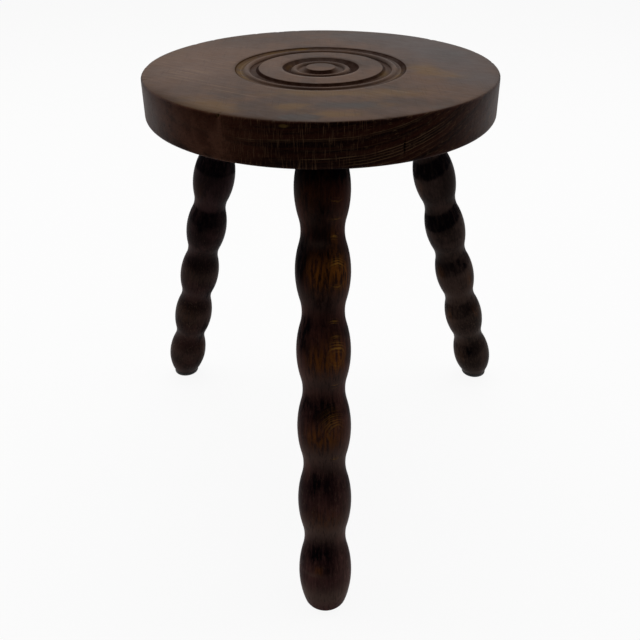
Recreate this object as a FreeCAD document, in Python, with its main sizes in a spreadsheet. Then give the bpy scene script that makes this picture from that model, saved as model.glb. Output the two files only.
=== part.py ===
import FreeCAD, Part
import Sketcher
import math
import os

# Tripod stool: a round slab seat with two turned rings on three splayed bobbin-turned legs.
# Each leg ends in a round tenon, wedged in a slanted blind socket, and stands on a nailed glide.
# Millimetres and degrees. The origin is on the floor in the middle of the stool's footprint,
# +Z is up and the front leg points to -Y.

SIZES = [
    # The seat.
    ("seat_height", 401.0, "floor to the seat's top face"),
    ("seat_diameter", 300.0, "seat across its rim"),
    ("seat_thickness", 35.5, "top face to underside"),
    ("seat_top_round", 1.8, "worn round of the rim's upper edge"),
    ("seat_bottom_round", 4.0, "round of the rim's lower edge"),
    ("seat_axis_x", -8.6, "seat's axis from the middle of the footprint"),
    ("seat_axis_y", 41.9, "seat's axis from the middle of the footprint"),
    # The turned rings in the top face: a bead between two quirks.
    ("quirk_hollow", 0.8, "share of a quirk's depth reached halfway across it"),
    ("inner_bead_diameter", 45.0, "middle of the inner ring's bead"),
    ("inner_bead_width", 5.0, "inner bead across"),
    ("inner_bead_drop", 0.9, "inner bead's crown below the top face"),
    ("inner_near_quirk", 7.7, "inner ring's quirk on the button's side, across"),
    ("inner_near_depth", 2.9, "depth of that quirk at the bead's root"),
    ("inner_far_quirk", 7.9, "inner ring's quirk on the rim's side, across"),
    ("inner_far_depth", 2.6, "depth of that quirk at the bead's root"),
    ("outer_bead_diameter", 125.2, "middle of the outer ring's bead"),
    ("outer_bead_width", 5.0, "outer bead across"),
    ("outer_bead_drop", 0.25, "outer bead's crown below the top face"),
    ("outer_near_quirk", 7.8, "outer ring's quirk on the button's side, across"),
    ("outer_near_depth", 2.9, "depth of that quirk at the bead's root"),
    ("outer_far_quirk", 7.9, "outer ring's quirk on the rim's side, across"),
    ("outer_far_depth", 1.7, "depth of that quirk at the bead's root"),
    # The joints between the seat and the legs.
    ("tenon_diameter", 25.0, "round tenon"),
    ("tenon_chamfer", 1.5, "lead-in at the tenon's end"),
    ("glue_gap", 0.1, "room for glue round the tenon"),
    ("socket_roof", 6.0, "wood left above a socket"),
    ("socket_end_gap", 1.5, "tenon's end to the socket's floor"),
    ("kerf_stop", 8.0, "seat's underside to the root of the saw cut"),
    ("kerf_root", 1.6, "width of the saw cut at its root"),
    ("kerf_mouth", 3.6, "width of the saw cut once the wedge has spread it"),
    ("wedge_inset", 2.5, "wedge's edges inside the tenon's sides"),
    ("wedge_tip_gap", 1.0, "wedge's tip to the root of the saw cut"),
    # The turned legs: what they share, then what differs on each hand-turned leg.
    ("bobbin_count", 6, "bobbins on a leg"),
    ("bulge_share", 0.7, "share of a bobbin's half pitch that is the round bulge"),
    ("front_socket_angle", -89.5, "where the front leg meets the seat"),
    ("front_socket_inset", 52.1, "rim to the front leg's axis at the underside"),
    ("front_lean_angle", -89.5, "which way the front leg leans"),
    ("front_splay_angle", 18.2, "front leg from the upright"),
    ("front_neck_diameter", 34.8, "front leg at a neck"),
    ("front_bulge_rise", 4.8, "how far a bulge stands out from a neck"),
    ("front_foot_length", 24.9, "front leg's last bulge to its foot"),
    ("front_foot_taper", 4.4, "how far the foot draws in from the last bulge"),
    ("left_socket_angle", 150.8, "where the left leg meets the seat"),
    ("left_socket_inset", 50.1, "rim to the left leg's axis at the underside"),
    ("left_lean_angle", 140.2, "which way the left leg leans"),
    ("left_splay_angle", 16.6, "left leg from the upright"),
    ("left_neck_diameter", 32.8, "left leg at a neck"),
    ("left_bulge_rise", 4.5, "how far a bulge stands out from a neck"),
    ("left_foot_length", 29.1, "left leg's last bulge to its foot"),
    ("left_foot_taper", 6.2, "how far the foot draws in from the last bulge"),
    ("right_socket_angle", 29.0, "where the right leg meets the seat"),
    ("right_socket_inset", 48.7, "rim to the right leg's axis at the underside"),
    ("right_lean_angle", 32.2, "which way the right leg leans"),
    ("right_splay_angle", 18.0, "right leg from the upright"),
    ("right_neck_diameter", 32.4, "right leg at a neck"),
    ("right_bulge_rise", 4.5, "how far a bulge stands out from a neck"),
    ("right_foot_length", 28.7, "right leg's last bulge to its foot"),
    ("right_foot_taper", 5.8, "how far the foot draws in from the last bulge"),
    # The glides and the nails that hold them.
    ("glide_diameter", 28.0, "glide across"),
    ("glide_thickness", 5.0, "floor to the leg's cut foot"),
    ("glide_round", 1.6, "round of the glide's lower edge"),
    ("nail_diameter", 2.4, "nail's shank"),
    ("nail_length", 19.0, "under the nail's head to its point"),
    ("nail_point", 3.0, "tapered point of the nail"),
    ("nail_head_diameter", 6.4, "nail's head across"),
    ("nail_head_thickness", 1.2, "nail's head"),
    ("nail_head_recess", 2.2, "glide's underside to the underside of the nail's head"),
    ("nail_clearance", 0.05, "room round the nail's shank and head"),
]

SIDES = ("front", "left", "right")

doc = FreeCAD.newDocument("tripod_stool")
sheet = doc.addObject("Spreadsheet::Sheet", "sizes")
for row, (alias, number, meaning) in enumerate(SIZES, start=1):
    sheet.set(f"A{row}", meaning)
    sheet.set(f"B{row}", str(number))
    sheet.setAlias(f"B{row}", alias)
doc.recompute()


def number_of(expression):
    """The value that an expression on the sheet's sizes has now."""
    return float(sheet.evalExpression(expression))


def origin_feature(body, role):
    """One of a body's own origin planes or axes, by its role."""
    return next(item for item in body.Origin.OriginFeatures if item.Role == role)


def new_body(name, placement):
    body = doc.addObject("PartDesign::Body", name)
    body.Label = name
    body.setExpression("Placement", placement)
    return body


def new_sketch(body, name, support):
    sketch = body.newObject("Sketcher::SketchObject", name)
    sketch.AttachmentSupport = [(support, "")]
    sketch.MapMode = "FlatFace"
    return sketch


def level_plane(body, name, placement):
    """A construction plane of a body, set from its XY plane by a placement expression."""
    plane = body.newObject("PartDesign::Plane", name)
    plane.AttachmentSupport = [(origin_feature(body, "XY_Plane"), "")]
    plane.MapMode = "FlatFace"
    plane.setExpression("AttachmentOffset", placement)
    return plane


def drive(sketch, name, expression, kind, *where):
    """Add a dimension whose value follows an expression on the sheet's sizes."""
    index = sketch.addConstraint(Sketcher.Constraint(kind, *where, number_of(expression)))
    sketch.renameConstraint(index, name)
    sketch.setExpression(f"Constraints.{name}", expression)


ORIGIN = (-1, 1)
START, END, CENTRE = 1, 2, 3


def place_point(sketch, name, where, x, y):
    """Dimension one point of a sketch from the sketch's origin."""
    drive(sketch, f"{name}_x", x, "DistanceX", *ORIGIN, *where)
    drive(sketch, f"{name}_y", y, "DistanceY", *ORIGIN, *where)


def arc_through(first, middle, last):
    """The anticlockwise arc on three points, and whether it runs from first to last."""
    circle = Part.Arc(first, middle, last).toShape().Curve
    centre = circle.Center
    angles = [math.atan2(p.y - centre.y, p.x - centre.x) for p in (first, middle, last)]
    forward = (angles[1] - angles[0]) % math.tau < (angles[2] - angles[0]) % math.tau
    low, high = (angles[0], angles[2]) if forward else (angles[2], angles[0])
    plain = Part.Circle(centre, FreeCAD.Vector(0, 0, 1), circle.Radius)
    return Part.ArcOfCircle(plain, low, high), forward


def draw_outline(sketch, path):
    """Draw a closed outline whose points are all dimensioned from the origin.

    Each step of the path is (x, y), reached by a straight edge, or (x, y, via_x, via_y),
    reached by an arc through the via point. All are expressions on the sheet's sizes.
    """
    points = [FreeCAD.Vector(number_of(step[0]), number_of(step[1]), 0) for step in path]
    ends = []
    for index, step in enumerate(path):
        before, here = points[index - 1], points[index]
        if len(step) == 2:
            edge = sketch.addGeometry(Part.LineSegment(before, here))
            ends.append(((edge, START), (edge, END)))
            continue
        via = FreeCAD.Vector(number_of(step[2]), number_of(step[3]), 0)
        arc, forward = arc_through(before, via, here)
        edge = sketch.addGeometry(arc)
        ends.append(((edge, START), (edge, END)) if forward else ((edge, END), (edge, START)))
        mark = sketch.addGeometry(Part.Point(via), True)
        sketch.addConstraint(Sketcher.Constraint("PointOnObject", mark, START, edge))
        place_point(sketch, f"via_{index}", (mark, START), step[2], step[3])
    for index, step in enumerate(path):
        arrives, leaves = ends[index][1], ends[(index + 1) % len(path)][0]
        sketch.addConstraint(Sketcher.Constraint("Coincident", *arrives, *leaves))
        place_point(sketch, f"point_{index}", arrives, step[0], step[1])


def draw_circle(sketch, diameter, x="0", y="0"):
    centre = FreeCAD.Vector(number_of(x), number_of(y), 0)
    circle = Part.Circle(centre, FreeCAD.Vector(0, 0, 1), number_of(diameter) / 2)
    edge = sketch.addGeometry(circle)
    place_point(sketch, "centre", (edge, CENTRE), x, y)
    drive(sketch, "diameter", diameter, "Diameter", edge)


def revolve(body, name, sketch, kind="PartDesign::Revolution"):
    """Turn a sketch about the body's upright axis."""
    feature = body.newObject(kind, name)
    feature.Profile = sketch
    feature.ReferenceAxis = (sketch, ["V_Axis"])
    feature.Angle = 360
    return feature


def must_cut(body, make_feature):
    """Make a cutting feature and be sure that it takes wood away."""
    doc.recompute()
    before = body.Shape.Volume
    feature = make_feature()
    doc.recompute()
    if not body.Shape.Volume < before:
        raise RuntimeError(f"{feature.Label} cuts nothing")


def turn_groove(body, name, sketch):
    must_cut(body, lambda: revolve(body, name, sketch, "PartDesign::Groove"))


def pocket(body, name, sketch, length, way):
    """Cut a sketch's shape below its plane, above it or to both sides of it."""
    def make_feature():
        feature = body.newObject("PartDesign::Pocket", name)
        feature.Profile = sketch
        feature.Reversed = way == "above"
        feature.SideType = "Symmetric" if way == "both" else "One side"
        feature.setExpression("Length", length)
        return feature
    must_cut(body, make_feature)


# Expressions that several pieces share.

SEAT_RADIUS = "sizes.seat_diameter / 2"
UNDERSIDE = "(sizes.seat_height - sizes.seat_thickness)"
SOCKET_DIAMETER = "(sizes.tenon_diameter + 2 * sizes.glue_gap)"
SHANK_HOLE = "(sizes.nail_diameter + 2 * sizes.nail_clearance)"
HEAD_HOLE = "(sizes.nail_head_diameter + 2 * sizes.nail_clearance)"
UNTURNED = "rotation(vector(0; 0; 1); 0deg)"
QUARTER_ROUND = "(1 - sqrt(1 / 2))"


def tilt(side, sign):
    """Rotation expression that leans a leg's upright axis, or undoes the lean."""
    lean = f"sizes.{side}_lean_angle * 1deg"
    return f"rotation(vector(-sin({lean}); cos({lean}); 0); {sign}sizes.{side}_splay_angle * 1deg)"


def foot_inset(bulge, foot, foot_arc, foot_length, slope, splay):
    """How far the middle of the level-cut foot lies inside the leg's axis.

    The rounded foot is an arc turned about the axis, so the sloping cut meets it further out
    on its inner side than on its outer side. Each distance is a root of one quadratic.
    """
    hollow = f"({bulge} - {foot_arc})"
    steep = f"(1 + {slope}^2)"
    fixed = f"({foot} * ({foot} - 2 * {hollow}) * {steep})"
    inner = f"({hollow} + {foot_length} * {slope})"
    outer = f"({hollow} - {foot_length} * {slope})"
    inner_edge = f"(({inner} + sqrt({inner}^2 + {fixed})) / {steep})"
    outer_edge = f"(({outer} + sqrt({outer}^2 + {fixed})) / {steep})"
    return f"(({inner_edge} - {outer_edge}) / 2 / cos({splay}))"


def leg_sizes(side):
    """Expressions for one leg, along its own axis from the seat's underside."""
    splay = f"(sizes.{side}_splay_angle * 1deg)"
    lean = f"(sizes.{side}_lean_angle * 1deg)"
    where = f"(sizes.{side}_socket_angle * 1deg)"
    slope = f"tan({splay})"
    circle = f"({SEAT_RADIUS} - sizes.{side}_socket_inset)"
    neck = f"(sizes.{side}_neck_diameter / 2)"
    rise = f"sizes.{side}_bulge_rise"
    bulge = f"({neck} + {rise})"
    taper = f"sizes.{side}_foot_taper"
    foot = f"({bulge} - {taper})"
    foot_length = f"sizes.{side}_foot_length"
    foot_arc = f"(({foot_length}^2 + {taper}^2) / (2 * {taper}))"
    length = f"(({UNDERSIDE} - sizes.glide_thickness) / cos({splay}))"
    pitch = f"(({length} - {foot_length}) / (sizes.bobbin_count - 1 / 2))"
    both_arcs = f"(({pitch}^2 / 4 + {rise}^2) / (2 * {rise}))"
    socket_depth = (f"((sizes.seat_thickness - sizes.socket_roof"
                    f" - {SOCKET_DIAMETER} / 2 * sin({splay})) / cos({splay}))")
    inset = foot_inset(bulge, foot, foot_arc, foot_length, slope, splay)
    return {
        "neck": neck,
        "bulge": bulge,
        "length": length,
        "pitch": pitch,
        "bulge_arc": f"(sizes.bulge_share * {both_arcs})",
        "neck_arc": f"((1 - sizes.bulge_share) * {both_arcs})",
        "foot_arc": foot_arc,
        "foot_end": f"({length} + {foot} * {slope})",
        "past_slope": f"(2 * {neck} * {slope})",
        "past_leg": f"(4 * {bulge})",
        "socket_depth": socket_depth,
        "tenon": f"({socket_depth} - sizes.socket_end_gap)",
        "seat_x": f"({circle} * cos({where}))",
        "seat_y": f"({circle} * sin({where}))",
        "glide_reach": f"(({UNDERSIDE} - sizes.glide_thickness) * {slope} - {inset})",
        "glide_inset": inset,
        "lean_x": f"cos({lean})",
        "lean_y": f"sin({lean})",
    }


LEG = {side: leg_sizes(side) for side in SIDES}


def leg_placement(side):
    """A leg's own origin is where its axis meets the seat's underside."""
    leg = LEG[side]
    x = f"sizes.seat_axis_x + {leg['seat_x']}"
    y = f"sizes.seat_axis_y + {leg['seat_y']}"
    return f"placement(vector({x}; {y}; {UNDERSIDE}); {tilt(side, '-')})"


def glide_placement(side):
    """A glide stands upright on the floor, under the middle of the level-cut foot."""
    leg = LEG[side]
    x = f"sizes.seat_axis_x + {leg['seat_x']} + {leg['glide_reach']} * {leg['lean_x']}"
    y = f"sizes.seat_axis_y + {leg['seat_y']} + {leg['glide_reach']} * {leg['lean_y']}"
    return f"placement(vector({x}; {y}; 0); {UNTURNED})"


def ring_outline(ring):
    """A bead between two coved quirks, cut into the top face."""
    bead = f"sizes.{ring}_bead_diameter / 2"
    half = f"sizes.{ring}_bead_width / 2"
    near, far = f"sizes.{ring}_near_quirk", f"sizes.{ring}_far_quirk"
    top = "sizes.seat_thickness"
    near_root, far_root = f"{top} - sizes.{ring}_near_depth", f"{top} - sizes.{ring}_far_depth"
    near_cove = f"{near_root} + sizes.{ring}_near_depth * (1 - sizes.quirk_hollow)"
    far_cove = f"{far_root} + sizes.{ring}_far_depth * (1 - sizes.quirk_hollow)"
    crown = f"{top} - sizes.{ring}_bead_drop"
    return [
        (f"{bead} - {half} - {near}", top),
        (f"{bead} - {half}", near_root, f"{bead} - {half} - {near} / 2", near_cove),
        (f"{bead} + {half}", far_root, bead, crown),
        (f"{bead} + {half} + {far}", top, f"{bead} + {half} + {far} / 2", far_cove),
    ]


def make_seat():
    """The slab: turned blank, two turned rings, three slanted blind sockets."""
    middle = f"vector(sizes.seat_axis_x; sizes.seat_axis_y; {UNDERSIDE})"
    seat = new_body("seat", f"placement({middle}; {UNTURNED})")
    upright = origin_feature(seat, "XZ_Plane")
    rim, top = SEAT_RADIUS, "sizes.seat_thickness"
    low, high = "sizes.seat_bottom_round", "sizes.seat_top_round"
    blank = new_sketch(seat, "blank_outline", upright)
    draw_outline(blank, [
        ("0", "0"),
        (f"{rim} - {low}", "0"),
        (rim, low, f"{rim} - {low} * {QUARTER_ROUND}", f"{low} * {QUARTER_ROUND}"),
        (rim, f"{top} - {high}"),
        (f"{rim} - {high}", top, f"{rim} - {high} * {QUARTER_ROUND}", f"{top} - {high} * {QUARTER_ROUND}"),
        ("0", top),
    ])
    revolve(seat, "blank", blank)
    for ring in ("inner", "outer"):
        outline = new_sketch(seat, f"{ring}_ring_outline", upright)
        draw_outline(outline, ring_outline(ring))
        turn_groove(seat, f"{ring}_ring", outline)
    for side in SIDES:
        leg = LEG[side]
        mouth = f"vector({leg['seat_x']}; {leg['seat_y']}; 0)"
        square = level_plane(seat, f"{side}_socket_plane", f"placement({mouth}; {tilt(side, '-')})")
        socket = new_sketch(seat, f"{side}_socket_outline", square)
        socket.setExpression("AttachmentOffset.Base.z", f"-{SOCKET_DIAMETER}")
        draw_circle(socket, SOCKET_DIAMETER)
        depth = f"{leg['socket_depth']} + {SOCKET_DIAMETER}"
        pocket(seat, f"{side}_socket", socket, depth, "above")
    return seat


def add_arc(sketch, x, y, radius, low, high):
    circle = Part.Circle(FreeCAD.Vector(x, y, 0), FreeCAD.Vector(0, 0, 1), radius)
    return sketch.addGeometry(Part.ArcOfCircle(circle, low, high))


def add_line(sketch, *corners):
    first, last = (FreeCAD.Vector(x, y, 0) for x, y in corners)
    return sketch.addGeometry(Part.LineSegment(first, last))


def draw_bobbin(sketch, leg, top, foot):
    """One bobbin between two necks, or the last one, whose lower half rounds down to the foot.

    The bulge and the necks are arcs that run smoothly into each other. The bulge's radius is
    driven, and the neck's radius follows from the bobbin's pitch and its two diameters.
    """
    neck, bulge = number_of(leg["neck"]), number_of(leg["bulge"])
    bulge_arc, neck_arc = number_of(leg["bulge_arc"]), number_of(leg["neck_arc"])
    high = number_of(top)
    crest = high - number_of(leg["pitch"]) / 2
    sweep = math.asin(number_of(leg["pitch"]) / 2 / (bulge_arc + neck_arc))
    low = -number_of(leg["foot_end"]) if foot else high - number_of(leg["pitch"])
    axis = add_line(sketch, (0, high), (0, low))
    upper_line = add_line(sketch, (neck, high), (0, high))
    upper_neck = add_arc(sketch, neck + neck_arc, high, neck_arc, math.pi, math.pi + sweep)
    upper_bulge = add_arc(sketch, bulge - bulge_arc, crest, bulge_arc, 0, sweep)
    if foot:
        foot_arc = number_of(leg["foot_arc"])
        turned = math.asin((crest - low) / foot_arc)
        lower = add_arc(sketch, bulge - foot_arc, crest, foot_arc, -turned, 0)
        lower_end = bulge - foot_arc + foot_arc * math.cos(turned)
    else:
        lower = add_arc(sketch, bulge - bulge_arc, crest, bulge_arc, -sweep, 0)
        lower_neck = add_arc(sketch, neck + neck_arc, low, neck_arc, math.pi - sweep, math.pi)
        lower_end = neck
    lower_line = add_line(sketch, (0, low), (lower_end, low))

    def tie(kind, *where):
        sketch.addConstraint(Sketcher.Constraint(kind, *where))

    tie("PointOnObject", axis, START, -2)
    tie("Vertical", axis)
    tie("Coincident", upper_line, END, axis, START)
    tie("Coincident", axis, END, lower_line, START)
    tie("Horizontal", upper_line)
    tie("Horizontal", lower_line)
    tie("Coincident", upper_line, START, upper_neck, START)
    tie("Horizontal", upper_neck, CENTRE, upper_neck, START)
    tie("Tangent", upper_neck, END, upper_bulge, END)
    tie("Horizontal", upper_bulge, CENTRE, upper_bulge, START)
    tie("Tangent", upper_bulge, START, lower, END)
    drive(sketch, "top", top, "DistanceY", *ORIGIN, axis, START)
    drive(sketch, "neck", leg["neck"], "DistanceX", upper_line, END, upper_line, START)
    drive(sketch, "crest", f"{leg['pitch']} / 2", "DistanceY", upper_bulge, START, axis, START)
    drive(sketch, "bulge", leg["bulge"], "DistanceX", *ORIGIN, upper_bulge, START)
    drive(sketch, "bulge_arc", leg["bulge_arc"], "Radius", upper_bulge)
    if foot:
        drive(sketch, "foot_arc", leg["foot_arc"], "Radius", lower)
        drive(sketch, "foot_end", leg["foot_end"], "DistanceY", axis, END, *ORIGIN)
        tie("Coincident", lower, START, lower_line, END)
    else:
        tie("Equal", upper_bulge, lower)
        tie("Tangent", lower, START, lower_neck, START)
        tie("Equal", upper_neck, lower_neck)
        tie("Horizontal", lower_neck, CENTRE, lower_neck, END)
        tie("Coincident", lower_neck, END, lower_line, END)


def turn_bobbins(body, side):
    """The row of bobbins below the seat, and the last one with the rounded foot."""
    leg = LEG[side]
    upright = origin_feature(body, "XZ_Plane")
    outline = new_sketch(body, f"{side}_bobbin_outline", upright)
    draw_bobbin(outline, leg, "0", foot=False)
    bobbin = revolve(body, f"{side}_bobbin", outline)
    doc.recompute()
    row = body.newObject("PartDesign::LinearPattern", f"{side}_bobbin_row")
    row.Originals = [bobbin]
    row.Direction = (origin_feature(body, "Z_Axis"), [""])
    row.Reversed = True
    row.setExpression("Occurrences", "sizes.bobbin_count - 1")
    row.setExpression("Length", f"{leg['pitch']} * (sizes.bobbin_count - 2)")
    body.Tip = row
    doc.recompute()
    last = new_sketch(body, f"{side}_foot_outline", upright)
    draw_bobbin(last, leg, f"-{leg['pitch']} * (sizes.bobbin_count - 1)", foot=True)
    revolve(body, f"{side}_foot", last)


def saw_level(body, side):
    """Run the neck up past the underside, then saw the shoulder and the foot level."""
    leg = LEG[side]
    neck = new_sketch(body, f"{side}_collar_outline", origin_feature(body, "XY_Plane"))
    draw_circle(neck, f"2 * {leg['neck']}")
    collar = body.newObject("PartDesign::Pad", f"{side}_collar")
    collar.Profile = neck
    collar.setExpression("Length", leg["past_slope"])
    upright_again = tilt(side, "")
    shoulder = level_plane(body, f"{side}_shoulder_level", f"placement(vector(0; 0; 0); {upright_again})")
    above = new_sketch(body, f"{side}_shoulder_outline", shoulder)
    draw_circle(above, leg["past_leg"])
    pocket(body, f"{side}_shoulder", above, leg["past_leg"], "above")
    end = f"vector(0; 0; -{leg['length']})"
    foot = level_plane(body, f"{side}_foot_level", f"placement({end}; {upright_again})")
    below = new_sketch(body, f"{side}_level_outline", foot)
    draw_circle(below, leg["past_leg"])
    pocket(body, f"{side}_level_foot", below, leg["past_leg"], "below")
    return foot


def make_leg(side):
    """A turned leg: bobbins, level cuts, a tenon with its saw cut, a hole for the glide's nail."""
    leg = LEG[side]
    body = new_body(f"leg_{side}", leg_placement(side))
    turn_bobbins(body, side)
    foot = saw_level(body, side)

    # The tenon starts inside the neck. Its saw cut runs across the seat's grain.
    half, end = "sizes.tenon_diameter / 2", leg["tenon"]
    pin = new_sketch(body, f"{side}_tenon_outline", origin_feature(body, "XZ_Plane"))
    draw_outline(pin, [
        ("0", f"-{leg['past_slope']}"),
        (half, f"-{leg['past_slope']}"),
        (half, f"{end} - sizes.tenon_chamfer"),
        (f"{half} - sizes.tenon_chamfer", end),
        ("0", end),
    ])
    revolve(body, f"{side}_tenon", pin)
    slot = new_sketch(body, f"{side}_kerf_outline", origin_feature(body, "YZ_Plane"))
    draw_outline(slot, [
        ("-sizes.kerf_root / 2", "sizes.kerf_stop"),
        ("sizes.kerf_root / 2", "sizes.kerf_stop"),
        ("sizes.kerf_mouth / 2", end),
        ("-sizes.kerf_mouth / 2", end),
    ])
    pocket(body, f"{side}_kerf", slot, "2 * sizes.tenon_diameter", "both")

    hole = new_sketch(body, f"{side}_nail_outline", foot)
    inset = f"-{leg['glide_inset']}"
    draw_circle(hole, SHANK_HOLE, f"{inset} * {leg['lean_x']}", f"{inset} * {leg['lean_y']}")
    depth = "sizes.nail_length + sizes.nail_head_recess - sizes.glide_thickness"
    pocket(body, f"{side}_nail_hole", hole, depth, "above")
    return body


def make_wedge(side):
    """The hardwood wedge in a tenon's saw cut, from near its root to the socket's floor."""
    leg = LEG[side]
    body = new_body(f"tenon_wedge_{side}", leg_placement(side))
    spread = f"((sizes.kerf_mouth - sizes.kerf_root) / 2 / ({leg['tenon']} - sizes.kerf_stop))"
    tip = f"(sizes.kerf_root / 2 + sizes.wedge_tip_gap * {spread})"
    head = f"(sizes.kerf_mouth / 2 + sizes.socket_end_gap * {spread})"
    outline = new_sketch(body, f"{side}_wedge_outline", origin_feature(body, "YZ_Plane"))
    draw_outline(outline, [
        (f"-{tip}", "sizes.kerf_stop + sizes.wedge_tip_gap"),
        (tip, "sizes.kerf_stop + sizes.wedge_tip_gap"),
        (head, leg["socket_depth"]),
        (f"-{head}", leg["socket_depth"]),
    ])
    wedge = body.newObject("PartDesign::Pad", f"{side}_wedge")
    wedge.Profile = outline
    wedge.SideType = "Symmetric"
    wedge.setExpression("Length", "sizes.tenon_diameter - 2 * sizes.wedge_inset")
    return body


def make_glide(side):
    """A disc with a rounded lower edge, bored for the nail and recessed for its head."""
    body = new_body(f"glide_{side}", glide_placement(side))
    radius, low = "sizes.glide_diameter / 2", "sizes.glide_round"
    outline = new_sketch(body, f"{side}_glide_outline", origin_feature(body, "XZ_Plane"))
    draw_outline(outline, [
        (f"{HEAD_HOLE} / 2", "0"),
        (f"{radius} - {low}", "0"),
        (radius, low, f"{radius} - {low} * {QUARTER_ROUND}", f"{low} * {QUARTER_ROUND}"),
        (radius, "sizes.glide_thickness"),
        (f"{SHANK_HOLE} / 2", "sizes.glide_thickness"),
        (f"{SHANK_HOLE} / 2", "sizes.nail_head_recess"),
        (f"{HEAD_HOLE} / 2", "sizes.nail_head_recess"),
    ])
    revolve(body, f"{side}_glide", outline)
    return body


def make_nail(side):
    """The nail through a glide, its head up in the glide's recess, clear of the floor."""
    body = new_body(f"glide_nail_{side}", glide_placement(side))
    shank, head = "sizes.nail_diameter / 2", "sizes.nail_head_diameter / 2"
    under, tip = "sizes.nail_head_recess", "(sizes.nail_head_recess + sizes.nail_length)"
    outline = new_sketch(body, f"{side}_nail_profile", origin_feature(body, "XZ_Plane"))
    draw_outline(outline, [
        ("0", f"{under} - sizes.nail_head_thickness"),
        (head, f"{under} - sizes.nail_head_thickness"),
        (head, under),
        (shank, under),
        (shank, f"{tip} - sizes.nail_point"),
        ("0", tip),
    ])
    revolve(body, f"{side}_nail", outline)
    return body


pieces = [make_seat()]
for side in SIDES:
    pieces += [make_leg(side), make_wedge(side), make_glide(side), make_nail(side)]
doc.recompute()

for item in doc.Objects:
    if "Invalid" in item.State or "Error" in item.State:
        raise RuntimeError(f"{item.Label}: {item.State}")
for piece in pieces:
    if piece.Shape.isNull() or not piece.Shape.isValid():
        raise RuntimeError(f"{piece.Label}: no valid solid")
    if len(piece.Shape.Solids) != 1:
        raise RuntimeError(f"{piece.Label}: {len(piece.Shape.Solids)} solids")

os.makedirs("parts", exist_ok=True)
for piece in pieces:
    piece.Shape.exportStep(f"parts/{piece.Label}.step")
    print(f"{piece.Label}: {piece.Shape.Volume / 1000:.2f} cm3")
box = FreeCAD.BoundBox()
for piece in pieces:
    box.add(piece.Shape.optimalBoundingBox())
print(f"box x {box.XMin:.2f} to {box.XMax:.2f}, y {box.YMin:.2f} to {box.YMax:.2f},"
      f" z {box.ZMin:.2f} to {box.ZMax:.2f}")
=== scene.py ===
# %% [markdown]
# # A tripod stool, dressed for its portrait
# The stool is a round oak slab on three bobbin-turned legs, stained very dark and rubbed lighter by use.
# The solid model already holds its sizes, so this lesson works out finer skins for the pieces that show,
# with their nicks, wear and grain, and sets them exactly where the solids stand.

# %% The frame
import math
from functools import partialmethod
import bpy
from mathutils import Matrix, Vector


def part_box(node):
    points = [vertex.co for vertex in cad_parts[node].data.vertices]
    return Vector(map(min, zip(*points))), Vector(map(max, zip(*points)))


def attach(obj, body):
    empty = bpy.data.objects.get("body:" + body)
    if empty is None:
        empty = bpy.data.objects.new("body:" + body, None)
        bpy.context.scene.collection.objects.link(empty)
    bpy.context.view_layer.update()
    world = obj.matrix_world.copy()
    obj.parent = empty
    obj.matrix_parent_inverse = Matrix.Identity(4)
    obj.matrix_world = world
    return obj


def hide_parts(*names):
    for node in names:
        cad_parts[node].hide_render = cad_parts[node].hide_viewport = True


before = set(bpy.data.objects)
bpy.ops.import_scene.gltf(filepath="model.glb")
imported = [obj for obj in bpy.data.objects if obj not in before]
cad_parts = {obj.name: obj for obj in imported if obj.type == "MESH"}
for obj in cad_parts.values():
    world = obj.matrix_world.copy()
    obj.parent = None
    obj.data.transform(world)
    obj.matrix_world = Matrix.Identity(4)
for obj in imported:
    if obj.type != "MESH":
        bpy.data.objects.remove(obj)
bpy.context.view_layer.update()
from types import SimpleNamespace
import bpy
import numpy as np
from mathutils import Matrix, Vector
print("nodes:", ", ".join(sorted(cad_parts)))

# %% [markdown]
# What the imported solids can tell, such as the seat's box, is read from them. What they can't tell, such as
# a leg's lean, is written here once, in metres and degrees. A leg's facing is the turn from its outer side
# to the side that the camera sees, and its marks are counted from there.

# %% Sizes of the seat and the legs
MM = 0.001
seat_low, seat_high = (np.array(corner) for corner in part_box("seat"))
SEAT_AXIS = (seat_low + seat_high)[:2] / 2
SEAT_RADIUS = (seat_high - seat_low)[0] / 2
SEAT_TOP = seat_high[2]
UNDERSIDE = seat_low[2]
SEAT_THICKNESS = SEAT_TOP - UNDERSIDE
FOOT_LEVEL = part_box("glide_front")[1][2]
BOBBINS = 6
BULGE_SHARE = 0.7
LEGS = {
    "front": dict(socket_angle=-89.5, socket_inset=0.0521, lean=-89.5, splay=18.2, neck=0.0174,
                  rise=0.0048, foot_length=0.0249, foot_taper=0.0044, facing=0, dust_and_light=1.0, painted_lift=0.0,
                  streak=0.35, band_tilt=0.0),
    "left": dict(socket_angle=150.8, socket_inset=0.0501, lean=140.2, splay=16.6, neck=0.0164,
                 rise=0.0045, foot_length=0.0291, foot_taper=0.0071, facing=132, dust_and_light=0.12, painted_lift=0.32,
                 streak=0.15, band_tilt=0.0),
    "right": dict(socket_angle=29.0, socket_inset=0.0487, lean=32.2, splay=18.0, neck=0.0162,
                  rise=0.0045, foot_length=0.0287, foot_taper=0.0069, facing=-124, dust_and_light=0.12, painted_lift=0.18,
                  streak=0.15, band_tilt=0.08),
}
print(f"seat {2 * SEAT_RADIUS / MM:.0f} mm across, its top at {SEAT_TOP / MM:.0f} mm")

# %% [markdown]
# The camera stands a little above the seat, on the front leg's side. Its place, tilt and lens were found by
# matching the seat's rim and the legs' outlines to the photograph. A small lens shift does what cropping
# does: the middle of the lens isn't the middle of the frame.

# %% Camera
CAMERA_FROM_SEAT = np.array([0.00095, -0.6536, 0.1625])
PITCH, YAW, ROLL = np.radians([29.657, 0.0814, -0.2421])
LENS = dict(lens=42.94, sensor_width=36.0, shift_x=-0.0059, shift_y=-0.0608, clip_end=50)
scene = bpy.context.scene


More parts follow.
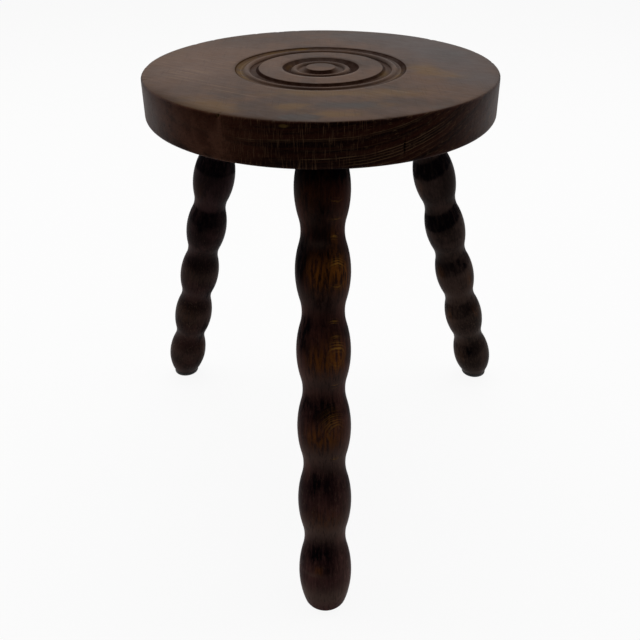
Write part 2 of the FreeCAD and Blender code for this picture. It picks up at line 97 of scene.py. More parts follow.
def camera_axes(pitch, yaw, roll):
    """Right, up and back of a camera that looks along +Y, turned, tipped down, then rolled."""
    ahead = np.array([math.sin(yaw) * math.cos(pitch), math.cos(yaw) * math.cos(pitch), -math.sin(pitch)])
    level = np.array([math.cos(yaw), -math.sin(yaw), 0])
    above = np.cross(level, ahead)
    right = math.cos(roll) * level + math.sin(roll) * above
    return np.stack([right, np.cross(right, ahead), -ahead], 1)


def placed(name, data):
    item = bpy.data.objects.new(name, data)
    scene.collection.objects.link(item)
    return item


camera = placed("camera", bpy.data.cameras.new("camera"))
for key, value in LENS.items():
    setattr(camera.data, key, value)
camera_place = np.append(SEAT_AXIS, SEAT_TOP) + CAMERA_FROM_SEAT
camera.matrix_world = Matrix.Translation(camera_place) @ Matrix(camera_axes(PITCH, YAW, ROLL)).to_4x4()
scene.camera = camera
print("camera at", np.round(camera_place, 4))

# %% [markdown]
# Every turned piece is a stack of rings, one above the other, closed by a point at each end. One helper
# turns such a stack into a mesh: each ring joins the next with a band of four-cornered faces, and fans of
# triangles close the ends. All the indices come from whole arrays, so a hundred thousand faces take no time.

# %% From a stack of rings to a mesh
SHARP_FROM = math.radians(40)


def ring_skin(name, rings, low_point, high_point):
    """Closed mesh from rings[row, column, xyz]. Rows climb, and columns run anticlockwise seen from above.

    Face (row, column) joins columns c and c+1 of row r with those of row r+1, so it looks outwards.
    """
    rows, columns = rings.shape[:2]
    points = np.concatenate([rings.reshape(-1, 3), [low_point, high_point]])
    here = np.arange(columns)
    after = np.roll(here, -1)
    start = np.arange(rows - 1)[:, None] * columns
    bands = np.stack([start + here, start + after, start + columns + after, start + columns + here], -1)
    last = (rows - 1) * columns
    low_fan = np.stack([np.full(columns, rows * columns), after, here], -1)
    high_fan = np.stack([np.full(columns, rows * columns + 1), last + here, last + after], -1)
    faces = bands.reshape(-1, 4).tolist() + low_fan.tolist() + high_fan.tolist()
    mesh = bpy.data.meshes.new(name)
    mesh.from_pydata(points.tolist(), [], faces)
    mesh.polygons.foreach_set("use_smooth", np.ones(len(mesh.polygons), bool))
    mesh.set_sharp_from_angle(angle=SHARP_FROM)
    print(f"{name}: {len(points)} points, {len(mesh.polygons)} faces")
    return placed(name, mesh), points


def paint(piece, name, amount):
    """Keep one number per point of a piece, for its finish to read."""
    layer = piece.data.attributes.new(name, "FLOAT", "POINT")
    layer.data.foreach_set("value", np.clip(amount, 0, 1).astype(np.float32))
    print(f"  {name}: {amount.mean():.3f} on average")


# %% [markdown]
# ## The seat
# A seat like this was turned on a lathe's faceplate, so its whole form is one section swung round. The
# section below starts at the middle of the underside, goes round the rim and comes back over the top,
# through the two rings. Each ring is a bead between two coved grooves that turners call quirks.

# %% Straight runs, arcs and a turned ring
QUIRK_HOLLOW = 0.8
QUIRK_ROWS = 12
RINGS = {
    "outer": dict(bead=0.0626, width=0.005, drop=0.00025, near=0.0078, near_depth=0.0029,
                  far=0.0079, far_depth=0.0017),
    "inner": dict(bead=0.0225, width=0.005, drop=0.0009, near=0.0077, near_depth=0.0029,
                  far=0.0079, far_depth=0.0026),
}


def straight(first, last, count):
    """Points spread evenly from the first up to, and not with, the last."""
    share = np.arange(count)[:, None] / count
    return np.array(first) * (1 - share) + np.array(last) * share


def arc(first, via, last, count):
    """Points on the circle through three points, from the first up to, and not with, the last.

    The centre is where the two chords' middle lines cross, and the angle runs evenly about it.
    """
    first, via, last = (np.array(point) for point in (first, via, last))
    a, b = via - first, last - first
    cross = 2 * (a[0] * b[1] - a[1] * b[0])
    centre = first + np.array([b[1] * (a @ a) - a[1] * (b @ b), a[0] * (b @ b) - b[0] * (a @ a)]) / cross
    spokes = np.stack([first, via, last]) - centre
    angles = np.unwrap(np.arctan2(spokes[:, 1], spokes[:, 0]))
    angle = angles[0] + (angles[2] - angles[0]) * np.arange(count) / count
    return centre + np.linalg.norm(spokes[0]) * np.stack([np.cos(angle), np.sin(angle)], 1)


def ring_section(bead, width, drop, near, near_depth, far, far_depth):
    """From the rim's side inwards: quirk, bead, quirk, and the points where they begin and end."""
    half = width / 2
    edge_out, root_out = (bead + half + far, 0), (bead + half, -far_depth)
    root_in, edge_in = (bead - half, -near_depth), (bead - half - near, 0)
    return [
        arc(edge_out, (bead + half + far / 2, -far_depth * QUIRK_HOLLOW), root_out, QUIRK_ROWS),
        arc(root_out, (bead, -drop), root_in, QUIRK_ROWS),
        arc(root_in, (bead - half - near / 2, -near_depth * QUIRK_HOLLOW), edge_in, QUIRK_ROWS),
    ], edge_out, edge_in


print("beads at", [ring["bead"] for ring in RINGS.values()], "m")

# %% [markdown]
# Straight runs and arcs join into one section, each with as many points as its curve or its marks need.
# Both edges of the rim are rounded over, the lower one more, for the hand that lifts the stool.

# %% The seat's section
TOP_ROUND, BOTTOM_ROUND = 0.0018, 0.004
LOW_EYE, HIGH_EYE = 0.004, 0.001
UNDER_ROWS, CORNER_ROWS, RIM_ROWS, ARRIS_ROWS, TOP_ROWS, LAND_ROWS = 6, 7, 26, 8, 26, 5


def seat_section():
    """Radius and height, from the top face, of the section's points."""
    rim, low = SEAT_RADIUS, -SEAT_THICKNESS
    corner = 1 - math.sqrt(0.5)
    outer, outer_edge, land_edge = ring_section(**RINGS["outer"])
    inner, inner_edge, button_edge = ring_section(**RINGS["inner"])
    parts = [
        straight((LOW_EYE, low), (rim - BOTTOM_ROUND, low), UNDER_ROWS),
        arc((rim - BOTTOM_ROUND, low), (rim - BOTTOM_ROUND * corner, low + BOTTOM_ROUND * corner),
            (rim, low + BOTTOM_ROUND), CORNER_ROWS),
        straight((rim, low + BOTTOM_ROUND), (rim, -TOP_ROUND), RIM_ROWS),
        arc((rim, -TOP_ROUND), (rim - TOP_ROUND * corner, -TOP_ROUND * corner), (rim - TOP_ROUND, 0),
            ARRIS_ROWS),
        straight((rim - TOP_ROUND, 0), outer_edge, TOP_ROWS),
        *outer,
        straight(land_edge, inner_edge, LAND_ROWS),
        *inner,
        straight(button_edge, (HIGH_EYE, 0), LAND_ROWS),
    ]
    return np.concatenate(parts)


section = seat_section()
print(f"section of {len(section)} points, {section[:, 0].max() / MM:.1f} mm out")

# %% [markdown]
# A perfect section looks like plastic. The real seat has a drying check in its end grain, a chip out of
# the top edge, a row of small nicks and an edge that hands and knees have rounded unevenly. All of them are
# pushes on the turned surface: a soft hump in angle times a soft hump in height says how deep each one is.

# %% The section swung round, and its marks
CHECK = dict(angle=-66.7, height=-0.0215, half_height=0.0056, half_width=0.00055, depth=0.0026, slant=0.06)
CHIP = dict(angle=-118.8, half_width=0.0011, depth=0.0016, reach_in=0.0016, inward=0.7)
NICKS = dict(count=26, widths=(0.003, 0.014), depths=(0.0001, 0.0007))
NICK_SEED = 7
SEAT_COLUMNS = 576
ARRIS_REACH = 0.0022
SLOW_WEAR, SWAY, SETTLED = 0.00012, 0.0001, 0.0001


def hump(distance, half_width):
    """A smooth bump: one in the middle, nothing far away."""
    return np.exp(-(distance / half_width) ** 2)


def seat_angles():
    """Angles of the section's copies, closer together at the drying check and the chip."""
    even = np.linspace(-180, 180, SEAT_COLUMNS, endpoint=False)
    check = CHECK["angle"] + np.linspace(-1.3, 1.3, 41)
    chip = CHIP["angle"] + np.linspace(-1.2, 1.2, 21)
    return np.radians(np.unique(np.round(np.concatenate([even, check, chip]), 4)))


def arris_wear(angle, random):
    """How much is gone from the top edge: a slow wander of sines and a handful of nicks."""
    slow = SLOW_WEAR * (1 + np.sin(3 * angle + 0.6) * np.sin(7 * angle + 2.1))
    middle = random.uniform(-np.pi, np.pi, NICKS["count"])
    wide = random.uniform(*NICKS["widths"], NICKS["count"])
    deep = random.uniform(*NICKS["depths"], NICKS["count"])
    apart = np.angle(np.exp(1j * (angle[:, None] - middle)))
    return slow + (deep * hump(apart, wide)).sum(1)


def check_depth(angle, height):
    """A slit that leans: widest in its middle, closed at both ends."""
    past = height - CHECK["height"]
    along = SEAT_RADIUS * (angle - math.radians(CHECK["angle"]) - CHECK["slant"] * past)
    gap = CHECK["half_width"] * np.clip(1 - (past / CHECK["half_height"]) ** 2, 1e-3, 1)
    return CHECK["depth"] * hump(along, gap) * hump(past, CHECK["half_height"])


def chip_depth(angle, radius, height):
    """A bite out of the top edge: a hump along the rim, one inwards and one downwards."""
    along = SEAT_RADIUS * (angle - math.radians(CHIP["angle"]))
    bite = CHIP["depth"] * hump(along, CHIP["half_width"])
    return bite * hump(radius - SEAT_RADIUS, CHIP["reach_in"]) * hump(height, ARRIS_REACH)


def seat_rings(section, angle):
    """The section swung round the seat's axis, less what wear, the check and the chip have taken."""
    radius, height = section[:, :1], section[:, 1:]
    worn = arris_wear(angle, np.random.default_rng(NICK_SEED))
    worn = hump(radius - SEAT_RADIUS, ARRIS_REACH) * hump(height, ARRIS_REACH) * worn
    chipped = chip_depth(angle, radius, height)
    on_rim = radius > SEAT_RADIUS - 0.5 * MM
    sway = SWAY * np.sin(2 * angle + 0.4) * (height > -1 * MM) * radius / SEAT_RADIUS
    out = radius - worn - CHIP["inward"] * chipped - check_depth(angle, height) * on_rim
    up = height - worn - chipped + sway - SETTLED
    x = SEAT_AXIS[0] + out * np.cos(angle)
    y = SEAT_AXIS[1] + out * np.sin(angle)
    return np.stack([x, y, SEAT_TOP + np.clip(up, -SEAT_THICKNESS, 0)], -1)


rings = seat_rings(section, seat_angles())
seat, seat_points = ring_skin("seat_slab", rings, (*SEAT_AXIS, UNDERSIDE), (*SEAT_AXIS, SEAT_TOP - SETTLED))
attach(seat, "root")
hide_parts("seat")

# %% [markdown]
# The finish needs to know where the seat is worn. Where people sit down and where pots were dragged, the
# stain is rubbed through to warm amber. Elsewhere wax has gone grey, and towards the back and the right a
# pale grey haze is wax bloom and partly a painted sheen. Each place is a soft oval spot: its middle from the
# seat's axis and its two half widths, in millimetres, and its strength. The sums are kept on the points, and
# so is how far a point belongs to the side.

# %% Where the seat is worn and greyed
TOP_SPOTS = {
    "amber": [
        (-93, -108, 28, 18, 0.7), (-75, -120, 20, 12, 0.7), (-21, -114, 14, 12, 0.8), (12, -132, 22, 8, 0.9),
        (-21, -78, 30, 10, 0.6), (18, -81, 30, 9, 0.65), (60, -78, 28, 12, 0.55), (87, -9, 14, 18, 0.8),
        (102, -30, 20, 14, 0.55), (42, -105, 20, 14, 0.4), (-129, 48, 14, 26, 0.35), (-60, 114, 30, 12, 0.2),
    ],
    "greyed": [
        (-81, -81, 18, 8, 0.4), (12, -111, 24, 9, 0.9), (-15, -139, 14, 6, 1.8), (36, -114, 12, 9, 0.5),
        (57, 117, 40, 25, 0.45), (114, 40, 26, 50, 0.5), (0, 125, 40, 14, 0.25), (84, -117, 12, 8, 0.6),
    ],
    # Grey haze at the back and right: wax bloom and partly a painted sheen.
    "haze_and_sheen": [
        (100, 70, 50, 60, 0.9), (122, 0, 26, 45, 0.65), (40, 122, 50, 24, 0.6), (130, -50, 24, 24, 0.6),
        (-40, 135, 30, 12, 0.3),
    ],
    "paled": [
        (-105, -10, 42, 55, 0.95), (-85, 70, 45, 40, 0.4), (-42, 0, 9, 30, 0.5), (3, -95, 30, 9, 0.4),
        (60, -122, 20, 10, 0.35), (-129, 48, 14, 26, 0.35),
    ],
    "scratched": [
        (-105, -5, 40, 40, 1.0), (-60, -75, 40, 22, 0.8), (70, -70, 45, 22, 0.6), (95, -5, 20, 25, 0.5),
    ],
}
SIDE_FROM, UNDER_FROM = 1.6, 12


def spots(across, along, table):
    """Sum of soft ovals: each row of the table is middle, half widths and strength."""
    x, y, half_x, half_y, strength = np.array(table).T
    apart = ((across[:, None] - x) / half_x) ** 2 + ((along[:, None] - y) / half_y) ** 2
    return (strength * np.exp(-apart)).sum(1)


from_axis = seat_points[:, :2] - SEAT_AXIS
radius_mm = np.linalg.norm(from_axis, axis=1) / MM
depth_mm = (SEAT_TOP - seat_points[:, 2]) / MM
for mark, table in TOP_SPOTS.items():
    paint(seat, mark, spots(*(from_axis / MM).T, table))
paint(seat, "side", np.clip(radius_mm - SEAT_RADIUS / MM + SIDE_FROM, 0, 1) + (depth_mm > UNDER_FROM))

# %% [markdown]
# The quirks hold old wax and dirt, and the beads between them stay clean. How dark a quirk is depends on the
# side, partly from that dirt and partly as painted shade: walls that face the camera's dim side are painted
# darkest, and at the left the quirks were rubbed golden. So each quirk has one strength for each side of the
# seat, and they ease into one another round the ring.

# %% Dirt and painted shade in the quirks
QUIRK_DIRT_AND_SHADE = [
    (12.3, 20.3, 0.35, 0.85, 0.25, 0.42), (12.3, 16.0, 0.1, 0.4, 0.1, 0.0),
    (24.7, 32.9, 0.9, 0.85, 0.95, 0.62), (23.2, 25.2, 0.0, 0.8, 0.0, 0.0),
    (52.3, 60.4, 0.55, 0.86, 0.52, 0.45), (52.3, 55.2, 0.4, 0.1, 0.35, 0.1),
    (63.6, 65.1, 0.0, 0.6, 0.0, 0.0), (64.8, 67.6, 0.55, 0.6, 0.45, 0.35),
    (67.75, 73.0, 0.62, 0.55, 0.85, 0.56), (71.3, 73.3, 0.45, 0.1, 0.1, 0.45),
]
QUIRK_EDGE = 0.5
RINGS_ABOVE = 5


def quirk_dirt_and_shade(radius, turn):
    """Dirt and painted shade in the quirks: a band across each, as strong as its side of the seat.

    A row of the table is a quirk's two radii and its strength at the left, front, right and back. The
    squares of the sine and cosine add up to one, so they share a place between its two nearest sides.
    """
    low, high, left, front, right, back = np.array(QUIRK_DIRT_AND_SHADE).T
    sideways, backward = np.sin(np.radians(turn))[:, None], np.cos(np.radians(turn))[:, None]
    strength = np.where(sideways < 0, left, right) * sideways ** 2
    strength = strength + np.where(backward < 0, front, back) * backward ** 2
    inside = np.minimum(radius[:, None] - low, high - radius[:, None]) / QUIRK_EDGE
    return (strength * np.clip(inside, 0, 1)).sum(1)


from_back = np.degrees(np.arctan2(*from_axis.T))
in_rings = depth_mm < RINGS_ABOVE
# Dirt and painted shade: strongest where a quirk's walls face the camera's dim side.
paint(seat, "dirt_and_shade", quirk_dirt_and_shade(radius_mm, from_back) * in_rings)

# %% [markdown]
# The golden rubs, the dark edge at the front left and the marks on the rim are soft spots again, among them a
# painted sheen at the rim's two ends. Their places are the turn from the back, in degrees, and the radius on
# top or the depth on the rim.

# %% Gold, the dark edge and the rim
GOLD_SPOTS = [
    (-92, 68.5, 24, 3.2, 1.0), (-112, 69.5, 12, 2.4, 0.6), (-35, 69.0, 26, 2.6, 0.7), (-14, 68, 6, 3, 0.9),
    (108, 56.0, 10, 2.2, 0.7), (110, 68.0, 12, 2.2, 0.6), (-75, 28.5, 22, 2.0, 0.3),
]
DARK_EDGE_SPOTS = [(-132, 150, 24, 11, 0.75), (-160, 149, 14, 4, 0.6), (150, 149, 30, 2.5, 0.5)]
RIM_SPOTS = {
    "ruddy": [
        (-149, 24, 8, 11, 1.0), (-120, 18, 10, 24, 0.4), (165, 25, 14, 4, 0.3), (-158, 12, 6, 6, 0.2),
        (-128, 18, 26, 24, 0.7), (-151.5, 7, 0.7, 8, 0.7), (112, 24, 18, 16, 0.45),
    ],
    # Painted sheen: pale grey where the rim's two ends are seen at a grazing angle.
    "painted_end_sheen": [(-114, 18, 17, 30, 0.8), (118, 18, 17, 30, 0.5)],
    "fleck": [(-170.2, 3.4, 1.3, 1.2, 1.0), (-151.2, 1.0, 0.5, 1.2, 1.0)],
}
RIM_WITHIN = 4

on_rim = radius_mm > SEAT_RADIUS / MM - RIM_WITHIN
paint(seat, "gold", spots(from_back, radius_mm, GOLD_SPOTS) * in_rings)
paint(seat, "dark_edge", spots(from_back, radius_mm, DARK_EDGE_SPOTS))
for mark, table in RIM_SPOTS.items():
    paint(seat, mark, spots(from_back, depth_mm, table) * on_rim)

# %% [markdown]
# ## The legs
# A bobbin leg is turned between centres: round bulges that run into hollow necks, six to a leg, the last
# one rounding down to the foot. The profile is two arcs that meet smoothly, a wide one for the bulge and a
# tight one for the neck.

# %% A bobbin leg's frame and profile
def leg_frame(leg):
    """Origin on the seat's underside, the axis downwards, and two directions square to it."""
    where, lean, splay = (math.radians(leg[key]) for key in ("socket_angle", "lean", "splay"))
    reach = SEAT_RADIUS - leg["socket_inset"]
    origin = np.array([*(SEAT_AXIS + reach * np.array([math.cos(where), math.sin(where)])), UNDERSIDE])
    down = np.array([math.sin(splay) * math.cos(lean), math.sin(splay) * math.sin(lean), -math.cos(splay)])
    side = np.array([-math.sin(lean), math.cos(lean), 0])
    return origin, down, np.cross(side, -down), side


def leg_length(leg):
    """From the seat's underside to the top of the glide."""
    return (UNDERSIDE - FOOT_LEVEL) / math.cos(math.radians(leg["splay"]))


def bobbin_pitch(leg):
    """Neck to neck: what the foot leaves over, shared by five bobbins and a half."""
    return (leg_length(leg) - leg["foot_length"]) / (BOBBINS - 0.5)


def bobbin_radius(leg, depth):
    """Radius at a depth along the axis: a bulge arc near each crest, a neck arc between crests.

    Below the last crest one long arc draws in to the foot. Above the first neck the leg runs straight.
    """
    pitch, neck, rise = bobbin_pitch(leg), leg["neck"], leg["rise"]
    both = (pitch ** 2 / 4 + rise ** 2) / (2 * rise)
    bulge_arc, neck_arc = BULGE_SHARE * both, (1 - BULGE_SHARE) * both
    from_crest = np.abs((depth % pitch) - pitch / 2)
    bulge = neck + rise - bulge_arc + np.sqrt(np.maximum(bulge_arc ** 2 - from_crest ** 2, 0))
    hollow = neck + neck_arc - np.sqrt(np.maximum(neck_arc ** 2 - (pitch / 2 - from_crest) ** 2, 0))
    radius = np.where(from_crest < BULGE_SHARE * pitch / 2, bulge, hollow)
    last_crest = pitch * (BOBBINS - 0.5)
    foot_arc = (leg["foot_length"] ** 2 + leg["foot_taper"] ** 2) / (2 * leg["foot_taper"])
    past = np.maximum(depth - last_crest, 0)
    foot = neck + rise - foot_arc + np.sqrt(foot_arc ** 2 - past ** 2)
    return np.where(depth < 0, neck, np.where(depth > last_crest, foot, radius))


for side_name, leg in LEGS.items():
    print(f"{side_name} leg: {leg_length(leg) / MM:.1f} mm, bobbins {bobbin_pitch(leg) / MM:.1f} mm apart")

# %% [markdown]
# The leg leans, yet its ends are sawn level, so each column of points stops at its own length, found by
# trying the level again a few times with the radius found there. No hand-turned leg is quite round, and a
# tenth of a millimetre of that is enough to break up its gloss.

# %% A leg's level-sawn skin
LEG_COLUMNS, LEG_ROWS, CAP_ROWS = 112, 300, 5
LEVEL_TRIES = 8
CHATTER, CHATTER_STEP = 0.00003, 0.0023
WANDER, OVAL = 0.00012, 0.00012
TRUE_ENDS = 0.02


def hand_turned(angle, depth, seed):
    """Tiny departures of a hand-turned leg: tool chatter, a slow wander and a slight oval."""
    chatter = CHATTER * np.sin(2 * np.pi * depth / CHATTER_STEP + 2 * angle)
    wander = WANDER * np.sin(depth / 0.021 + seed) * np.sin(depth / 0.047 + 2 * seed)
    return chatter + wander + OVAL * np.cos(2 * angle + seed)


def leg_rings(leg, seed):
    """Rings of a leg from its foot up, with the level ends closed in towards the middle."""
    origin, down, outward, side = leg_frame(leg)
    angle = np.linspace(-np.pi, np.pi, LEG_COLUMNS, endpoint=False)
    slope = math.tan(math.radians(leg["splay"]))
    top, foot = np.zeros(LEG_COLUMNS), np.full(LEG_COLUMNS, leg_length(leg))
    for _ in range(LEVEL_TRIES):
        top = bobbin_radius(leg, top) * np.cos(angle) * slope
        foot = leg_length(leg) + bobbin_radius(leg, foot) * np.cos(angle) * slope
    share = np.linspace(1, 0, LEG_ROWS)[:, None]
    depth = top + (foot - top) * share
    between_ends = np.minimum(share, 1 - share) > TRUE_ENDS
    radius = bobbin_radius(leg, depth) + hand_turned(angle, depth, seed) * between_ends
    spokes = np.cos(angle)[:, None] * outward + np.sin(angle)[:, None] * side
    skin = origin + depth[..., None] * down + radius[..., None] * spokes
    inward = np.linspace(0, 1, CAP_ROWS, endpoint=False)[:, None, None]
    foot_middle, top_middle = skin[0].mean(0), skin[-1].mean(0)
    foot_cap = foot_middle + (skin[0] - foot_middle) * inward[1:]
    top_cap = top_middle + (skin[-1] - top_middle) * inward[:0:-1]
    return np.concatenate([foot_cap, skin, top_cap]), foot_middle, top_middle


legs = {}
for seed, (side_name, leg) in enumerate(LEGS.items(), start=1):
    piece, points = ring_skin(f"bobbin_leg_{side_name}", *leg_rings(leg, seed))
    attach(piece, "root")
    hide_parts(f"leg_{side_name}")
    legs[side_name] = piece, points

# %% [markdown]
# Shoes rubbed the bulges, so the oak's figure shows there. Where stain gathered it is nearly black, and black
# is also painted as shade: the seat's shadow over the legs' tops, and the sides that face in under the stool.
# A few pale spots in front are painted highlights and old wax. A spot's row is its depth along the axis in
# millimetres, its turn from the camera's side in degrees, two half widths and a strength. One below nothing
# takes a mark away again.

# %% Spots on the legs
RUBBED = {
    "front": [
        (93, 25, 13, 28, 1.0), (96, -15, 12, 18, 0.9), (99, 52, 10, 14, 0.6), (68, 30, 8, 12, 0.4),
        (163, 28, 11, 22, 1.0), (165, -12, 10, 24, 0.7), (150, 5, 10, 30, 0.12), (229, 6, 10, 34, 0.55),
        (228, -22, 9, 20, 0.35), (215, 20, 8, 20, 0.25), (299, 0, 9, 36, 0.3), (345, -16, 4, 12, 0.4),
        (35, -32, 9, 34, 0.14), (35, 12, 8, 16, 0.12), (52, 0, 10, 40, 0.05),
    ],
    "left": [
        (110, -50, 14, 30, 0.12), (212, -20, 10, 40, 0.06), (275, -25, 14, 40, 0.1), (335, 60, 14, 20, 0.15),
    ],
    "right": [
        (100, -58, 10, 16, 0.3), (212, -54, 8, 16, 0.3), (275, -54, 8, 18, 0.3), (226, 42, 10, 12, 0.25),
        (274, 44, 8, 14, 0.18), (340, -46, 12, 20, 0.12),
    ],
}
# Black spots: dark stain, and painted shade under the seat and on sides that face in.
BLACK = {
    "front": [
        (8, 0, 17, 120, 1.4), (46, -2, 8, 14, 0.7), (60, 0, 14, 22, 0.5), (81, -15, 5, 30, 0.6),
        (87, -50, 14, 17, 1.5), (118, 0, 12, 30, 0.7), (146, -49, 13, 15, 1.5), (136, 0, 6, 35, 0.35),
        (145, 18, 8, 24, 0.45), (213, 0, 9, 55, 0.35), (203, 12, 8, 20, 1.0), (203, -52, 6, 10, 0.7),
        (200, -20, 8, 25, 0.5), (212, -30, 8, 20, 0.35), (271, -24, 11, 12, 1.2), (270, 8, 12, 22, 0.7),
        (331, -3, 11, 30, 0.8), (332, -30, 9, 20, 0.5), (345, 6, 7, 30, 0.5),
    ],
    "left": [
        (148, -14, 5, 13, 0.9), (200, -32, 5, 40, 0.35), (325, 0, 10, 30, 0.15), (240, 52, 16, 24, 0.85),
        (300, 52, 22, 26, 0.85), (176, 52, 12, 18, 0.4), (348, 52, 18, 24, 0.55), (76, 48, 9, 18, -0.7),
        (138, 48, 9, 18, -0.6),
    ],
    "right": [
        (332, -4, 13, 24, 0.45), (201, 34, 6, 30, 0.4), (145, -26, 8, 22, 0.6), (86, -46, 5, 14, -0.5),
    ],
}
FIGURED_IN_FRONT = [
    (39, 28, 2, 10, 0.4), (54, 32, 1.2, 12, 0.5), (67, 30, 2, 9, 0.9), (89, 30, 5, 12, 1.0),
    (96.5, 30, 4, 6, -0.9), (105, 30, 2, 10, 0.5), (134, 28, 1.3, 10, 0.9), (145, 29, 1.2, 8, 0.7),
    (158, 28, 8, 13, 1.0), (162, 28, 3, 5, -0.5), (186, 28, 1.5, 9, 0.6), (216, 16, 10, 20, 0.4),
    (247, 26, 1.5, 10, 0.6),
]
# Pale spots in front: painted highlights, old wax and a worn line near the foot.
HIGHLIGHTS_AND_WAX_IN_FRONT = [
    (73.5, -4, 3.5, 20, 0.6), (73, -36, 4, 16, 0.3), (349, -30, 1.5, 35, 0.5), (292, 52, 14, 18, 0.3),
    (262, 50, 10, 16, 0.2), (350, 50, 16, 20, 0.3), (326, 50, 8, 20, 0.2), (228, 55, 10, 14, 0.2),
]
print("rubbed spots:", sum(map(len, RUBBED.values())))

# %% [markdown]
# Two marks follow the turning itself. A black band lies below each neck, on the upper half of each bulge,
# weaker from bobbin to bobbin: partly dark stain and partly painted shade where the bulge faces up towards
# the seat, and the seat's painted shadow darkens the top of each leg. Above the necks, on the lower halves, a
# pale grey is partly dust and partly painted light thrown up by the floor, more so towards the floor, and the
# side legs' upper halves are lightened lower down by painted fill light. Both need the phase: how far a point
# is along its bobbin, from nothing at one neck to one at the next. On the front leg the band is left out
# where it faces the camera, and spots take its place.

# %% Bands, dust and painted light, and the spots' sums
BAND_DEPTHS = (0, 75, 139, 202, 376)
BANDS = {
    "front": (0.6, 0.6, 0.6, 0.6, 0.6),
    "left": (1.1, 1.1, 0.75, 0.2, 0.0),
    "right": (1.1, 1.1, 1.0, 0.55, 0.3),
}
BAND_PHASE, BAND_HALF, BAND_EDGE, BAND_TILTS_TO = 0.16, 0.17, 0.06, -60
# Painted shadow of the seat over the top of each leg.
SEAT_SHADOW_BAND = 0.021
DUST_AND_LIGHT_PHASE, DUST_AND_LIGHT_HALF, LEAST_DUST_AND_LIGHT = 0.82, 0.18, 0.06
PAINTED_LIFT_PHASE, PAINTED_LIFT_HALF, PAINTED_LIFT_FROM, PAINTED_LIFT_OVER = 0.36, 0.16, 190, 30
FRONT_GAP_WIDTH = 70


def round_apart(first, second):
    """Distance between two places on a circle of length one."""
    return np.abs((first - second + 0.5) % 1 - 0.5)


def leg_phase(leg, depth):
    """Share of a bobbin above a depth. The foot counts as the last half."""
    last_crest = bobbin_pitch(leg) * (BOBBINS - 0.5)
    in_foot = 0.5 + 0.5 * (depth - last_crest) / leg["foot_length"]
    return np.where(depth > last_crest, in_foot, depth / bobbin_pitch(leg) % 1)


for side_name, (piece, points) in legs.items():
    leg = LEGS[side_name]
    origin, down, outward, side = leg_frame(leg)
    spoke = points - origin
    depth = spoke @ down
    turn = np.degrees(np.arctan2(spoke @ side, spoke @ outward)) - leg["facing"]
    turn = (turn + 180) % 360 - 180
    place = depth / MM, turn
    phase = leg_phase(leg, depth)
    low_down = np.clip(depth / leg_length(leg), 0, 1)
    at_front = float(side_name == "front")
    # Black band: dark stain and painted shade on the bulges' upper halves, plus the seat's painted shadow.
    middle = BAND_PHASE + leg["band_tilt"] * np.cos(np.radians(turn - BAND_TILTS_TO))
    band = np.clip((BAND_HALF - round_apart(phase, middle)) / BAND_EDGE, 0, 1)
    band = band * np.interp(depth / MM, BAND_DEPTHS, BANDS[side_name])
    band = band * (1 - at_front * hump(turn, FRONT_GAP_WIDTH)) + hump(depth, SEAT_SHADOW_BAND)
    # Dust and painted floor light on the lower halves, and painted fill light on the side legs' upper halves.
    dust_and_light = hump(round_apart(phase, DUST_AND_LIGHT_PHASE), DUST_AND_LIGHT_HALF) * leg["dust_and_light"]
    dust_and_light = dust_and_light * (LEAST_DUST_AND_LIGHT + (1 - LEAST_DUST_AND_LIGHT) * low_down)
    painted_lift = hump(round_apart(phase, PAINTED_LIFT_PHASE), PAINTED_LIFT_HALF) * leg["painted_lift"]
    dust_and_light = dust_and_light + painted_lift * np.clip((depth / MM - PAINTED_LIFT_FROM) / PAINTED_LIFT_OVER, 0, 1)
    paint(piece, "rubbed", spots(*place, RUBBED[side_name]))
    paint(piece, "figured", at_front * spots(*place, FIGURED_IN_FRONT))
    paint(piece, "black_stain_and_shade", band + spots(*place, BLACK[side_name]))
    paint(piece, "dust_and_painted_light", dust_and_light + at_front * spots(*place, HIGHLIGHTS_AND_WAX_IN_FRONT))
    paint(piece, "low_down", low_down)

# %% [markdown]
# ## Finishes
# Oak is layers of growth rings, so its finishes are solid: every point of the piece asks how far it is
# from the tree's middle and takes the colour of that ring. Faces cut along the rings then show wide ovals
# and end grain shows narrow lines by themselves. A finish is a tree of nodes. To let it read like a formula,
# each node's output is kept as a wire, and Python's own signs between wires add Math nodes.

# %% Wires and nodes
class Wire:
    """A node's output. A sign between it and a number or another wire adds a Math node to its tree."""

    def __init__(self, socket):
        self.socket, self.tree = socket, socket.id_data

    def math(self, operation, other=0.0, clamp=False):
        return add(self.tree, "Math", {0: self, 1: other}, operation=operation, use_clamp=clamp)

    def __rsub__(self, other):
        return add(self.tree, "Math", {0: other, 1: self}, operation="SUBTRACT")

    __add__, __sub__ = partialmethod(math, "ADD"), partialmethod(math, "SUBTRACT")
    __mul__, __pow__ = partialmethod(math, "MULTIPLY"), partialmethod(math, "POWER")
    __abs__, at_least = partialmethod(math, "ABSOLUTE"), partialmethod(math, "MAXIMUM")


def feed(node, inputs):
    """Wire other nodes to a node's inputs, or set an input's own number or colour."""
    for key, value in inputs.items():
        if isinstance(value, Wire):
            node.id_data.links.new(value.socket, node.inputs[key])
        else:
            node.inputs[key].default_value = value


def add(tree, kind, inputs, output=0, **settings):
    """Add a shader node of a kind, set it up, feed its inputs, return one of its outputs."""
    node = tree.nodes.new("ShaderNode" + kind)
    for key, value in settings.items():
        setattr(node, key, value)
    feed(node, inputs)
    return Wire(node.outputs[output])


def new_finish(name):
    material = bpy.data.materials.new(name)
    material.use_nodes = True
    return material, material.node_tree, material.node_tree.nodes["Principled BSDF"]


print("wires ready")

# %% [markdown]
# A piece's finish looks at the wood from the piece's own origin and axes. Noise that repeats seldom along
# one axis is drawn out into streaks along it. Colours are laid on in coats, as stain, wax and dirt were,
# and each coat covers only its share.

